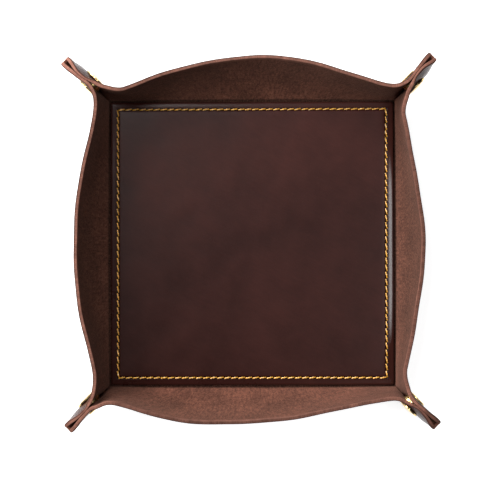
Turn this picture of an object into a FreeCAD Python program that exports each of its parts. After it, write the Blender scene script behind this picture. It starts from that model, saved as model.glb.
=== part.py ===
import FreeCAD, Part
import math
import os

from FreeCAD import Placement, Rotation, Vector

# Valet tray in millimetres, +Z up, origin at the centre of its underside.
# One leather sheet is folded up along four fold lines and pinched into an ear
# at each corner. A snap holds each ear shut. A liner panel is sewn to the base.

# Leather
PANEL_SIDE = 152.4
PANEL_THICKNESS = 2.2
SHEET_THICKNESS = 2.2
FOLD_MARGIN = 0.8
WALL_WIDTH = 31.8
CORNER_RADIUS = 23.0
FOLD_CLEARANCE = 0.15

# How the walls stand: their angle from the floor at the ears and at the middle
END_LEAN = math.radians(85.5)
MID_LEANS = {
    "back": math.radians(52.0),
    "right": math.radians(69.0),
    "front": math.radians(60.5),
    "left": math.radians(63.5),
}
# Where each wall bows out most, as a share of its half length
PEAK_SHARES = {"back": 0.05, "right": 0.05, "front": 0.22, "left": -0.05}
BOW_POWER = 1.3
# How much further the ears draw in the two ends of each wall, and where that begins
DRAWN_LEANS = {
    "back": (math.radians(6.6), math.radians(1.5)),
    "right": (math.radians(6.0), math.radians(5.5)),
    "front": (0.0, math.radians(-3.0)),
    "left": (math.radians(1.5), math.radians(1.5)),
}
DRAWN_START = 8.0
SECTION_SHARES = (
    -1.0, -0.95, -0.88, -0.72, -0.5, -0.25, 0.0, 0.25, 0.5, 0.72, 0.88, 0.95, 1.0
)

# Ears: two layers of the sheet with a crease between them
EAR_GAP = 1.9
EAR_CLEARANCE = 0.3
ROOT_RELIEF = 4.0
LIP_TURN = math.radians(40.0)

# Stitching
STITCH_INSET = 4.0
STITCH_PITCH = 3.8
THREAD_WIDTH = 0.8
THREAD_DEPTH = 0.6
THREAD_PROUD = 0.2
LEG_WIDTH = 0.6
KNOT_GAP = 0.05
HOLE_CLEARANCE = 0.08

# Snaps: place on the ear, measured from the fold corner
SNAP_OUT = 10.0
SNAP_RISE = 20.8

# Cap and its post
CAP_RADIUS = 6.25
CAP_EDGE = 0.7
CAP_CROWN = 0.8
POST_RADIUS = 1.6
POST_FLARE = 0.5
FLARE_DEPTH = 0.25

# Socket, which holds the spring and takes the stud
SOCKET_RADIUS = 5.2
SOCKET_SINK = 0.6
SOCKET_FLOOR = 0.45
SOCKET_REACH = 0.7
SOCKET_LIP = 0.4
CAVITY_RADIUS = 2.8
MOUTH_RADIUS = 2.2
SPRING_WIRE = 0.4
SPRING_SLIT = math.radians(30.0)

# Stud and the eyelet that rivets it
STUD_RADIUS = 5.0
STUD_SINK = 0.8
STUD_FACE_GAP = 0.15
NECK_RADIUS = 1.5
HEAD_RADIUS = 1.7
HEAD_CHAMFER = 0.3
HEAD_REACH = 0.6
EYELET_RADIUS = 5.1
EYELET_EDGE = 0.35
EYELET_CROWN = 0.35
TUBE_RADIUS = 1.1
TUBE_BORE = 0.7
RIVET_FIT = 0.05

# One overrun for every cut
OVERRUN = 5.0

FOLD_HALF = PANEL_SIDE / 2 + FOLD_MARGIN
STITCH_HALF = PANEL_SIDE / 2 - STITCH_INSET
STITCH_COUNT = round(2 * STITCH_HALF / STITCH_PITCH)
EAR_INNER = EAR_GAP / 2
EAR_OUTER = EAR_INNER + SHEET_THICKNESS

# The ear's root line leans out in the diagonal plane, and the crease lies below it
ROOT_LEAN = math.atan(math.sqrt(2) / math.tan(END_LEAN))
FLAT_ROOT = math.atan(math.cos(END_LEAN))
CREASE_LEAN = ROOT_LEAN + math.pi / 4 - FLAT_ROOT
CREASE_LENGTH = math.sqrt(2) * (WALL_WIDTH - CORNER_RADIUS) + CORNER_RADIUS

# Turns about Z that carry the back wall and the back right corner round the tray
WALL_TURNS = {"back": 0, "right": -90, "front": 180, "left": 90}
CORNER_TURNS = {"back_right": 45, "front_right": -45, "front_left": -135, "back_left": 135}

Z_AXIS = Vector(0, 0, 1)
FOLD_CORNER = Vector(math.sqrt(2) * FOLD_HALF, 0, SHEET_THICKNESS)


def turn_about_z(shape, degrees):
    """A copy of the shape turned about the tray's upright axis."""
    turned_copy = shape.copy()
    turned_copy.rotate(Vector(), Z_AXIS, degrees)
    return turned_copy


def plate(side, low, high):
    """A square plate centred on the origin between two heights."""
    corner = Vector(-side / 2, -side / 2, low)
    return Part.makeBox(side, side, high - low, corner)


def comb(bar_low, bar_high, leg_end, grow):
    """One side of the seam: a bar of thread with a leg in every stitch hole."""
    bar_edge, far_edge = (bar_low, bar_high) if leg_end < bar_low else (bar_high, bar_low)
    end = STITCH_HALF + THREAD_WIDTH / 2 + grow
    half_leg = LEG_WIDTH / 2 + grow
    half_bar = THREAD_WIDTH / 2 + grow
    back = STITCH_HALF + half_bar
    outline = [Vector(-end, back, bar_edge)]
    for number in range(STITCH_COUNT):
        hole = 2 * STITCH_HALF * number / STITCH_COUNT - STITCH_HALF
        outline.append(Vector(hole - half_leg, back, bar_edge))
        outline.append(Vector(hole - half_leg, back, leg_end))
        outline.append(Vector(hole + half_leg, back, leg_end))
        outline.append(Vector(hole + half_leg, back, bar_edge))
    outline.append(Vector(end, back, bar_edge))
    outline.append(Vector(end, back, far_edge))
    outline.append(Vector(-end, back, far_edge))
    face = Part.Face(Part.makePolygon(outline + outline[:1]))
    return face.extrude(Vector(0, -2 * half_bar, 0))


def seam(bar_low, bar_high, leg_end, grow=0.0):
    """The four sides of the seam as one ring."""
    side = comb(bar_low, bar_high, leg_end, grow)
    sides = [turn_about_z(side, degrees) for degrees in WALL_TURNS.values()]
    return sides[0].multiFuse(sides[1:]).removeSplitter()


def base_and_panel():
    """The flat middle of the sheet, the liner panel on it, and the two threads."""
    panel_top = SHEET_THICKNESS + PANEL_THICKNESS
    needle_bar = panel_top + THREAD_PROUD - THREAD_DEPTH
    bobbin_bar = THREAD_DEPTH + HOLE_CLEARANCE
    knot_low = SHEET_THICKNESS - KNOT_GAP
    needle = seam(needle_bar, needle_bar + THREAD_DEPTH, SHEET_THICKNESS)
    bobbin = seam(HOLE_CLEARANCE, bobbin_bar, knot_low)
    needle_cut = seam(needle_bar, panel_top + OVERRUN, -OVERRUN, HOLE_CLEARANCE)
    bobbin_cut = seam(-OVERRUN, bobbin_bar, panel_top + OVERRUN, HOLE_CLEARANCE)
    base = plate(2 * FOLD_HALF, 0, SHEET_THICKNESS)
    panel = plate(PANEL_SIDE, SHEET_THICKNESS, panel_top)
    return {
        "base_sheet": base.cut(bobbin_cut),
        "liner_panel": panel.cut(needle_cut),
        "needle_thread": needle,
        "bobbin_thread": bobbin,
    }


def lean_at(along, side):
    """A wall's angle from the floor at one place along it."""
    peak = PEAK_SHARES[side] * FOLD_HALF
    run = FOLD_HALF - peak if along > peak else FOLD_HALF + peak
    inward = max(0.0, 1 - abs(along - peak) / run)
    bow = math.sin(inward * math.pi / 2) ** BOW_POWER
    from_ear = max(0.0, FOLD_HALF - abs(along))
    start = min(1.0, from_ear / DRAWN_START)
    drawn = start * start * (3 - 2 * start) * (1 - from_ear / FOLD_HALF) ** BOW_POWER
    start_draw, far_draw = DRAWN_LEANS[side]
    draw = far_draw if along > 0 else start_draw
    return END_LEAN + (MID_LEANS[side] - END_LEAN) * bow + draw * drawn


def strip(along, lean):
    """The outline of the back wall's section at one place along it."""
    rise = Vector(0, math.cos(lean), math.sin(lean))
    outward = Vector(0, math.sin(lean), -math.cos(lean)) * SHEET_THICKNESS
    hinge = Vector(along, FOLD_HALF, SHEET_THICKNESS)
    foot = hinge + rise * FOLD_CLEARANCE
    rim = hinge + rise * WALL_WIDTH
    outline = [foot, rim, rim + outward, foot + outward]
    return Part.makePolygon(outline + outline[:1])


def mitre_cut(degrees):
    """The space beyond an ear's root line, where a wall ends."""
    reach = 2 * WALL_WIDTH
    block = Part.makeBox(reach, 2 * reach, 2 * reach, Vector(-EAR_CLEARANCE, -reach, -reach))
    block.rotate(Vector(), Vector(0, 1, 0), math.degrees(ROOT_LEAN))
    block.translate(FOLD_CORNER)
    return turn_about_z(block, degrees)


def wall(side):
    """One bowed wall, from its fold line to the rim and from ear to ear."""
    places = [share * FOLD_HALF for share in SECTION_SHARES]
    places = [places[0] - OVERRUN] + places + [places[-1] + OVERRUN]
    sections = [strip(place, lean_at(place, side)) for place in places]
    bowed = Part.makeLoft(sections, True)
    ends = [mitre_cut(CORNER_TURNS["back_right"]), mitre_cut(CORNER_TURNS["back_left"])]
    return turn_about_z(bowed.cut(ends), WALL_TURNS[side])


def ear_point(flat_along, flat_up, across=0.0):
    """A point of the flat corner of the sheet, folded into the ear's plane."""
    turn = ROOT_LEAN - FLAT_ROOT
    out = flat_along * math.cos(turn) + flat_up * math.sin(turn)
    up = flat_up * math.cos(turn) - flat_along * math.sin(turn)
    return Vector(out, across, up)


def ear_layer(side):
    """One layer of an ear with the start of its crease, on one side of the diagonal."""
    inner = side * EAR_INNER
    centre = WALL_WIDTH - CORNER_RADIUS
    diagonal = math.sqrt(0.5)
    root_low = ear_point(
        ROOT_RELIEF * math.sin(FLAT_ROOT), ROOT_RELIEF * math.cos(FLAT_ROOT), inner
    )
    root_high = ear_point(WALL_WIDTH * math.tan(FLAT_ROOT), WALL_WIDTH, inner)
    edge_end = ear_point(centre, WALL_WIDTH, inner)
    arc_turn = math.pi * 3 / 8
    arc_middle = ear_point(
        centre + CORNER_RADIUS * math.cos(arc_turn),
        centre + CORNER_RADIUS * math.sin(arc_turn),
        inner,
    )
    tip = ear_point(CREASE_LENGTH * diagonal, CREASE_LENGTH * diagonal, inner)
    crease_low = ear_point(ROOT_RELIEF * diagonal, ROOT_RELIEF * diagonal, inner)
    edges = [
        Part.makeLine(root_low, root_high),
        Part.makeLine(root_high, edge_end),
        Part.Arc(edge_end, arc_middle, tip).toShape(),
        Part.makeLine(tip, crease_low),
        Part.makeLine(crease_low, root_low),
    ]
    layer = Part.Face(Part.Wire(edges)).extrude(Vector(0, side * SHEET_THICKNESS, 0))
    layer = layer.fuse(crease_lip(side)).removeSplitter()
    layer.translate(Vector(EAR_CLEARANCE, 0, 0))
    return layer


def crease_lip(side):
    """The turn of one layer towards the crease, short of the other layer."""
    along = Vector(math.sin(CREASE_LEAN), 0, math.cos(CREASE_LEAN))
    below = Vector(math.cos(CREASE_LEAN), 0, -math.sin(CREASE_LEAN))
    start = along * ROOT_RELIEF

    def around(radius, turn):
        return start + below * (radius * math.sin(turn)) + Vector(0, side * radius * math.cos(turn), 0)

    inner = [around(EAR_INNER, turn) for turn in (0, LIP_TURN / 2, LIP_TURN)]
    outer = [around(EAR_OUTER, turn) for turn in (0, LIP_TURN / 2, LIP_TURN)]
    edges = [
        Part.Arc(*inner).toShape(),
        Part.makeLine(inner[-1], outer[-1]),
        Part.Arc(*reversed(outer)).toShape(),
        Part.makeLine(outer[0], inner[0]),
    ]
    return Part.Face(Part.Wire(edges)).extrude(along * (CREASE_LENGTH - ROOT_RELIEF))


def turned(path):
    """A solid of revolution. A path entry is a point, or an arc's middle and end point."""
    edges = []
    here = Vector(path[0][0], 0, path[0][1])
    for entry in path[1:]:
        if isinstance(entry[0], tuple):
            middle, end = (Vector(radius, 0, height) for radius, height in entry)
            edges.append(Part.Arc(here, middle, end).toShape())
        else:
            end = Vector(entry[0], 0, entry[1])
            edges.append(Part.makeLine(here, end))
        here = end
    return Part.Face(Part.Wire(edges)).revolve(Vector(), Z_AXIS, 360)


def on_ear(shape, side):
    """Lay a piece made along Z onto one side of the ear, at the snap's place."""
    laid = shape.copy()
    laid.rotate(Vector(), Vector(1, 0, 0), -90 * side)
    laid.translate(Vector(SNAP_OUT, 0, SNAP_RISE))
    return laid


def dome(radius, base, edge, crown):
    """The outer half of a domed disc's profile, from its underside to its top."""
    shoulder = base + edge
    top = shoulder + crown
    sphere = (radius ** 2 + crown ** 2) / (2 * crown)
    middle = (radius / 2, top - sphere + math.sqrt(sphere ** 2 - (radius / 2) ** 2))
    return [(radius, base), (radius, shoulder), (middle, (0, top))]


def snap_cap():
    """Domed cap with a post that is flared inside the socket."""
    floor = EAR_INNER + SOCKET_SINK - SOCKET_FLOOR
    flare = POST_RADIUS + POST_FLARE
    path = [
        (0, floor - FLARE_DEPTH),
        (flare, floor - FLARE_DEPTH),
        (flare, floor),
        (POST_RADIUS, floor),
        (POST_RADIUS, EAR_OUTER),
    ]
    return turned(path + dome(CAP_RADIUS, EAR_OUTER, CAP_EDGE, CAP_CROWN) + path[:1])


def snap_socket():
    """Socket cup with a lipped mouth, a spring cavity and a floor for the post."""
    seat = EAR_INNER + SOCKET_SINK
    floor = seat - SOCKET_FLOOR
    bore = POST_RADIUS + RIVET_FIT
    lip_top = SOCKET_LIP - SOCKET_REACH
    path = [
        (bore, seat),
        (bore, floor),
        (CAVITY_RADIUS, floor),
        (CAVITY_RADIUS, lip_top),
        (MOUTH_RADIUS, lip_top),
        (MOUTH_RADIUS, -SOCKET_REACH),
        (SOCKET_RADIUS - SOCKET_LIP, -SOCKET_REACH),
        (SOCKET_RADIUS, lip_top),
        (SOCKET_RADIUS, seat),
    ]
    return turned(path + path[:1])


def snap_spring():
    """Split ring of wire that lies on the socket's lip and grips the stud."""
    radius = CAVITY_RADIUS - RIVET_FIT - SPRING_WIRE / 2
    height = SOCKET_LIP - SOCKET_REACH + SPRING_WIRE / 2
    wire = Part.Wire(Part.makeCircle(SPRING_WIRE / 2, Vector(radius, 0, height), Vector(0, 1, 0)))
    span = 2 * math.pi - SPRING_SLIT
    return Part.Face(wire).revolve(Vector(), Z_AXIS, math.degrees(span))


def snap_stud():
    """Stud with a flange let into the leather and a head that enters the socket."""
    seat = EAR_INNER + STUD_SINK
    face = SOCKET_REACH + STUD_FACE_GAP
    bore = TUBE_RADIUS + RIVET_FIT
    neck_end = HEAD_CHAMFER - HEAD_REACH + HEAD_CHAMFER
    path = [
        (bore, seat),
        (STUD_RADIUS, seat),
        (STUD_RADIUS, face),
        (NECK_RADIUS, face),
        (NECK_RADIUS, neck_end),
        (HEAD_RADIUS, neck_end - HEAD_CHAMFER),
        (HEAD_RADIUS - HEAD_CHAMFER, -HEAD_REACH),
        (0, -HEAD_REACH),
        (0, neck_end - HEAD_CHAMFER),
        (bore, neck_end - HEAD_CHAMFER),
    ]
    return turned(path + path[:1])


def snap_eyelet():
    """Flanged eyelet whose tube passes through the leather into the hollow stud."""
    tube_end = HEAD_CHAMFER - HEAD_REACH + RIVET_FIT
    shoulder = EAR_OUTER + EYELET_EDGE
    rim = EAR_OUTER + EYELET_EDGE + EYELET_CROWN
    path = [
        (TUBE_BORE, tube_end),
        (TUBE_RADIUS, tube_end),
        (TUBE_RADIUS, EAR_OUTER),
        (EYELET_RADIUS, EAR_OUTER),
        (EYELET_RADIUS, shoulder),
        (EYELET_RADIUS - EYELET_CROWN, rim),
        (TUBE_BORE + EYELET_CROWN, rim),
        (TUBE_BORE, shoulder),
    ]
    return turned(path + path[:1])


def seat_cut(hole_radius, seat_radius, sink):
    """The hole through an ear's layer and the recess pressed into its inner face."""
    hole = Part.makeCylinder(hole_radius, EAR_OUTER + OVERRUN)
    seat = Part.makeCylinder(seat_radius, EAR_INNER + sink)
    return hole.fuse(seat)


def corner_set():
    """One corner's two ear layers and its snap, about the fold corner."""
    cap_cut = seat_cut(POST_RADIUS + HOLE_CLEARANCE, SOCKET_RADIUS + HOLE_CLEARANCE, SOCKET_SINK)
    stud_cut = seat_cut(TUBE_RADIUS + HOLE_CLEARANCE, STUD_RADIUS + HOLE_CLEARANCE, STUD_SINK)
    cap_side, stud_side = -1, 1
    return {
        "cap_flap": ear_layer(cap_side).cut(on_ear(cap_cut, cap_side)),
        "stud_flap": ear_layer(stud_side).cut(on_ear(stud_cut, stud_side)),
        "snap_cap": on_ear(snap_cap(), cap_side),
        "snap_socket": on_ear(snap_socket(), cap_side),
        "snap_spring": on_ear(snap_spring(), cap_side),
        "snap_stud": on_ear(snap_stud(), stud_side),
        "snap_eyelet": on_ear(snap_eyelet(), stud_side),
    }


def tray():
    """Every piece of the tray by name."""
    pieces = base_and_panel()
    for side in WALL_TURNS:
        pieces[side + "_wall"] = wall(side)
    for name, shape in corner_set().items():
        shape.translate(FOLD_CORNER)
        for corner, degrees in CORNER_TURNS.items():
            pieces[corner + "_" + name] = turn_about_z(shape, degrees)
    return pieces


os.makedirs("parts", exist_ok=True)
for node, solid in tray().items():
    solid.exportStep("parts/" + node + ".step")
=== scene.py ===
"""The looks of a valet tray: folded leather, a stitched liner panel and four snapped ears."""

import math
from functools import cache

import bmesh
import bpy
import numpy as np
from bpy.props import FloatProperty, FloatVectorProperty, IntProperty, PointerProperty
from mathutils import Matrix, Vector


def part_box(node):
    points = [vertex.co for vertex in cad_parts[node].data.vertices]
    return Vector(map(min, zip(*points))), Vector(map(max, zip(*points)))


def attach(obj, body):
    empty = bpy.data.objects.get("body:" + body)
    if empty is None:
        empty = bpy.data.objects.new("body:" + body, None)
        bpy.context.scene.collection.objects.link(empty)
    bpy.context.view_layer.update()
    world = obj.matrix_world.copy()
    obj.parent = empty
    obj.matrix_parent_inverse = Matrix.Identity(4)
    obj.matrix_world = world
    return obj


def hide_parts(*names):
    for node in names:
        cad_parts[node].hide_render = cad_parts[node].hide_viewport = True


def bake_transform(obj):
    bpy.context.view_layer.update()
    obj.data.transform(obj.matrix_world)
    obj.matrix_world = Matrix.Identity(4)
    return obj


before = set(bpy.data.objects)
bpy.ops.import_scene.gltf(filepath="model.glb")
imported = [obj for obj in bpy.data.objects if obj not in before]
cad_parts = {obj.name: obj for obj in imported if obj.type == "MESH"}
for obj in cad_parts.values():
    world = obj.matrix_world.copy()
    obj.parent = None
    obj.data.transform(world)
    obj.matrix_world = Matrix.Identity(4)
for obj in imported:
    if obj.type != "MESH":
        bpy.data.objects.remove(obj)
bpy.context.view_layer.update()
PANEL_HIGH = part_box("liner_panel")[1]

bl_info = {
    "name": "Leather Valet Tray",
    "version": (1, 0, 0),
    "blender": (4, 5, 0),
    "location": "View3D > Sidebar > Tray",
    "description": "Builds the leather, thread, brass and studio of a snap corner valet tray",
    "category": "Object",
}

# Lengths are in metres and angles in degrees, where nothing else is said
SIDES = ("back", "right", "front", "left")
SIDE_TURNS = dict(back=0.0, right=-90.0, front=180.0, left=90.0)
# Lean of each wall where it leans out most, and that place as a share of the half side
MID_LEANS = dict(back=52.0, right=69.0, front=59.7, left=63.5)
PEAK_SHARES = dict(back=0.05, right=0.05, front=0.22, left=-0.05)
# How much further the ears draw in the two ends of each wall
DRAWN_LEANS = dict(back=(6.6, 1.5), right=(6.0, 5.5), front=(0.0, -3.0), left=(1.5, 1.5))
# How far the tip of each ear leans over to its stud's side
EAR_LEANS = dict(back_right=0.0015, front_right=0.0007, front_left=0.0008, back_left=0.0014)
# Rounding of the sheet's hand trimmed corners
TRIM_RADII = dict(back_right=0.022, front_right=0.0225, front_left=0.0198, back_left=0.0195)
# How far the top of an ear's root stands out and over to its stud's side
ROOT_SHIFTS = dict(front_left=(0.003, 0.0012))
# The ear layer that the leather at each end of a wall runs on to
CORNERS = ("back_right", "front_right", "front_left", "back_left")
WALL_ENDS = {
    (side, end): CORNERS[number - (end < 0)] + ("_stud" if end > 0 else "_cap")
    for number, side in enumerate(SIDES)
    for end in (1, -1)
}
# Material slots of the sheet
NAP, GRAIN, CUT = 0, 1, 2
# Flat strip inside a fold line that belongs to the wall's piece
FLANGE = 0.0025
# Direction, from the fold corner, of the join between a wall's piece and an ear's
JOIN_TURN = math.radians(-9.0)
# Half sides of the plain inner rings of the base and the panel
INNER_RINGS = (0.05, 0.02)
# Rounding of a corner that is cut sharp
SHARP = 0.00005
# Rows of points on the rounding of a cut edge
ARRIS_ROWS = 5
# Directions of the nap's fibres, in radians
FIBRE_TURNS = (0.35, 1.45, 2.5)


def length(name, description, default):
    """A size property in metres."""
    return FloatProperty(
        name=name, description=description, default=default, unit="LENGTH", precision=5
    )


def colour(name, description, default):
    """A colour property, given as linear red, green and blue."""
    return FloatVectorProperty(
        name=name, description=description, default=default, size=3, min=0, max=1, subtype="COLOR"
    )


class TraySizes(bpy.types.PropertyGroup):
    """Sizes of the tray that the looks are built on."""

    thickness: length("Sheet thickness", "Thickness of the folded leather", 0.0022)
    fold_half: length("Fold line", "Distance of the fold lines from the middle", 0.077)
    wall_width: length("Wall width", "Leather from a fold line to the rim", 0.0318)
    ear_gap: length("Ear gap", "Space between the two layers at a snap", 0.0019)
    rim_gap: length("Rim gap", "Space between the two layers along the top edge", 0.00012)
    fold_round: length("Fold rounding", "Reach of the bottom fold's bend on either side", 0.0016)
    arris: length("Arris", "Rounding of the cut edges", 0.00035)
    rim_skive: length("Rim thinning", "Thickness lost along the cut edge", 0.00015)
    panel_half: length("Panel half side", "Half of the liner panel's side", PANEL_HIGH.x)
    panel_top: length("Panel top", "Height of the liner panel's face", PANEL_HIGH.z)
    panel_corner: length("Panel corner", "Rounding of the liner panel's corners", 0.0014)
    stitch_inset: length("Stitch inset", "Seam's distance from the panel's edge", 0.004)
    stitch_count: IntProperty(
        name="Stitches", description="Stitches on each side", default=38, min=4
    )
    thread_width: length("Thread width", "Width of the sewing thread", 0.00086)
    end_lean: FloatProperty(
        name="End lean",
        description="Angle of a wall from the floor beside an ear",
        default=math.radians(85.5),
        subtype="ANGLE",
    )


class TrayColours(bpy.types.PropertyGroup):
    """Colours of the tray's finishes."""

    nap: colour("Nap", "Fibrous flesh side of the sheet", (0.0889, 0.0330, 0.0211))
    nap_tips: colour("Nap tips", "Pale ends of the nap's fibres", (0.215, 0.101, 0.069))
    nap_sheen: colour("Nap sheen", "Soft light on the nap's fibres", (0.75, 0.42, 0.32))
    grain: colour("Grain", "Smooth outside of the sheet", (0.046, 0.0152, 0.0107))
    scuff: colour("Scuff", "Worn places of the smooth outside", (0.096, 0.041, 0.028))
    cut: colour("Cut edge", "Raw edge of the sheet", (0.178, 0.078, 0.0556))
    dye_line: colour("Dye line", "Dyed skin along the cut edge", (0.052, 0.020, 0.0148))
    panel: colour("Panel", "Polished face of the liner panel", (0.0289, 0.0071, 0.0052))
    fleck: colour("Fleck", "Pale flecks in the panel's face", (0.049, 0.018, 0.014))
    thread: colour("Thread", "Waxed sewing thread", (1.000, 0.500, 0.060))
    brass: colour("Brass", "Snap fasteners", (0.780, 0.560, 0.250))
    bronze: colour("Bronze", "Ring springs in the sockets", (0.560, 0.340, 0.170))
    floor: colour("Floor", "Studio floor", (0.900, 0.900, 0.900))


def sizes():
    """The scene's tray sizes."""
    return bpy.context.scene.tray_sizes


def colours():
    """The scene's tray colours."""
    return bpy.context.scene.tray_colours


def math_operator(operation, reflected=False):
    """A Python operator that adds a Math node, with its two sides swapped if reflected."""

    def act(self, other):
        return self.math(operation, *((other, self) if reflected else (self, other)))

    return act


class Wire:
    """A shader socket that Python's operators act on through Math nodes."""

    __add__ = __radd__ = math_operator("ADD")
    __mul__ = __rmul__ = math_operator("MULTIPLY")
    __sub__ = math_operator("SUBTRACT")
    __rsub__ = math_operator("SUBTRACT", True)
    __truediv__ = math_operator("DIVIDE")
    __rtruediv__ = math_operator("DIVIDE", True)

    def __init__(self, finish, socket):
        self.finish = finish
        self.socket = socket

    def math(self, operation, first, second=0.0):
        return self.finish.node("ShaderNodeMath", {"operation": operation}, {0: first, 1: second})

    def __abs__(self):
        return self.math("ABSOLUTE", self)


class Finish:
    """One procedural material and the nodes that make it."""

    def __init__(self, name):
        self.material = bpy.data.materials.new(name)
        self.material.use_nodes = True
        self.tree = self.material.node_tree
        self.shader = self.tree.nodes["Principled BSDF"]

    def node(self, kind, settings=None, inputs=None, output=0):
        """A node of one type, with its settings made first, then its sockets' values or links."""
        made = self.tree.nodes.new(kind)
        for name, value in (settings or {}).items():
            if name == "stops":
                self.set_stops(made.color_ramp, value)
            else:
                setattr(made, name, value)
        for name, value in (inputs or {}).items():
            self.feed(made.inputs[name], value)
        return Wire(self, made.outputs[output])

    def feed(self, socket, value):
        """Link a wire to a socket, or set the socket's own value."""
        if isinstance(value, Wire):
            self.tree.links.new(value.socket, socket)
        elif hasattr(socket.default_value, "__len__") and len(value) < len(socket.default_value):
            socket.default_value = (*value, 1.0)
        else:
            socket.default_value = value

    @staticmethod
    def set_stops(ramp, stops):
        """Give a ramp's two ends their greys, as pairs of place and level."""
        for element, (place, value) in zip(ramp.elements, stops):
            element.position = place
            element.color = (value, value, value, 1.0)

    def noise(self, vector, scale, detail=3.0, roughness=0.55):
        """Cloudy noise, with its scale in waves a metre."""
        inputs = {"Vector": vector, "Scale": scale, "Detail": detail, "Roughness": roughness}
        return self.node("ShaderNodeTexNoise", {}, inputs)

    def cells(self, vector, scale, feature):
        """The small cells of a leather's grain."""
        inputs = {"Vector": vector, "Scale": scale}
        return self.node("ShaderNodeTexVoronoi", {"feature": feature}, inputs)

    def streaks(self, vector, angle, scales, detail):
        """Noise drawn out along one direction."""
        inputs = {"Vector": vector, "Angle": angle}
        turned = self.node("ShaderNodeVectorRotate", {"rotation_type": "Z_AXIS"}, inputs)
        inputs = {0: turned, 1: scales}
        drawn = self.node("ShaderNodeVectorMath", {"operation": "MULTIPLY"}, inputs)
        return self.noise(drawn, 1.0, detail)

    def axis(self, vector, name):
        """One part of a vector: X, Y or Z."""
        return self.node("ShaderNodeSeparateXYZ", {}, {0: vector}, name)

    def ramp(self, value, start, end):
        """A grey from black at a start to white at an end."""
        stops = [(start, 0.0), (end, 1.0)]
        return self.node("ShaderNodeValToRGB", {"stops": stops}, {"Fac": value})

    def mix(self, factor, first, second, blend="MIX"):
        """Two colours mixed by a factor."""
        settings = {"data_type": "RGBA", "blend_type": blend}
        return self.node("ShaderNodeMix", settings, {0: factor, 6: first, 7: second}, 2)

    def toned(self, base, *shades):
        """A colour made darker or lighter by shades, each given as shade takes it."""
        tones = [self.shade(*shade) for shade in shades]
        return self.mix(1.0, base, math.prod(tones[1:], start=tones[0]), "MULTIPLY")

    def shade(self, value, low, high, start=0.3, end=0.7):
        """A grey between two levels, from the part of a noise's range that holds most of it."""
        inputs = {"Value": value, "From Min": start, "From Max": end}
        return self.node("ShaderNodeMapRange", {}, inputs | {"To Min": low, "To Max": high})

    def bump(self, height, strength, distance, normal=None):
        """A relief, over another one where that is given."""
        inputs = {"Height": height, "Strength": strength, "Distance": distance}
        if normal is not None:
            inputs["Normal"] = normal
        return self.node("ShaderNodeBump", {}, inputs)

    def set(self, **inputs):
        """Feed the shader's sockets, named with underscores for spaces."""
        for name, value in inputs.items():
            self.feed(self.shader.inputs[name.replace("_", " ")], value)


def flat_place(finish):
    """Where a point lies on the flat cut sheet, in metres."""
    return finish.node("ShaderNodeUVMap", {"uv_map": "flat"})


def object_place(finish):
    """Where a point lies on the piece, in metres."""
    return finish.node("ShaderNodeTexCoord", output="Object")


def fold_reach(finish, place, pick):
    """The larger or the smaller of a point's two distances from the middle lines."""
    reach = finish.node("ShaderNodeVectorMath", {"operation": "ABSOLUTE"}, {0: place})
    across = finish.axis(reach, "X")
    return across.math(pick, across, finish.axis(reach, "Y"))


def total(wires):
    """The sum of several wires."""
    return sum(wires[1:], wires[0])


@cache
def nap_finish():
    """The matte flesh side: short fibres in all directions over a soft mottle."""
    finish = Finish("sheet_nap")
    place = flat_place(finish)
    mottle = finish.noise(place, 70.0)
    blotch = finish.noise(place, 420.0)
    tuft = finish.noise(place, 850.0, roughness=0.65)
    speck = finish.noise(place, 5200.0, 2.0)
    drawn = (4200.0, 1176.0, 4200.0)
    strand = total([finish.streaks(place, turn, drawn, 2.0) for turn in FIBRE_TURNS])
    strand = finish.shade(strand / len(FIBRE_TURNS), 0.0, 1.0, 0.38, 0.62)
    from_fold = abs(fold_reach(finish, place, "MAXIMUM") - sizes().fold_half)
    base = finish.toned(
        colours().nap,
        (mottle, 0.7, 1.3),
        (blotch, 0.66, 1.34),
        (tuft, 0.5, 1.5),
        (strand, 0.6, 1.4, 0.0, 1.0),
        # Painted shade in the bend of a fold
        (from_fold, 0.2, 1.0, 0.0006, 0.0017),
        # Painted light: the lower wall beside a fold is painted paler
        (from_fold, 1.32, 0.96, 0.002, 0.014),
        # Painted shade on the right wall and painted light on the front wall
        (finish.axis(place, "X"), 1.0, 0.72, 0.06, 0.09),
        (finish.axis(place, "Y"), 1.2, 1.0, -0.09, -0.06),
    )
    pale = finish.ramp(strand * 0.35 + speck * 0.2 + tuft * 0.45, 0.50, 0.66)
    finish.set(
        Base_Color=finish.mix(pale * 0.32, base, colours().nap_tips),
        Roughness=0.95,
        Specular_IOR_Level=0.11,
        Sheen_Weight=0.185,
        Sheen_Roughness=0.6,
        Sheen_Tint=colours().nap_sheen,
        Normal=finish.bump(strand * 0.4 + speck * 0.2 + tuft * 0.8, 0.7, 0.0004),
    )
    return finish.material


@cache
def grain_finish():
    """The smooth outside: polished, with fine pores, creases and a little wear."""
    finish = Finish("sheet_grain")
    place = flat_place(finish)
    cloud = finish.noise(place, 35.0, 4.0)
    pore = finish.ramp(finish.cells(place, 1500.0, "DISTANCE_TO_EDGE"), 0.0, 0.12)
    crease = finish.streaks(place, 0.0, (260.0, 900.0, 1.0), 4.0)
    scuff = finish.ramp(finish.noise(place, 160.0, 5.0), 0.56, 0.74)
    base = finish.toned(colours().grain, (cloud, 0.7, 1.3))
    finish.set(
        Base_Color=finish.mix(scuff * 0.25, base, colours().scuff),
        Roughness=finish.shade(cloud * 0.6 + crease * 0.4, 0.2, 0.34) + scuff * 0.1,
        Specular_IOR_Level=0.19,
        Normal=finish.bump(pore * 0.5 + crease, 0.25, 0.0003),
    )
    return finish.material


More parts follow.
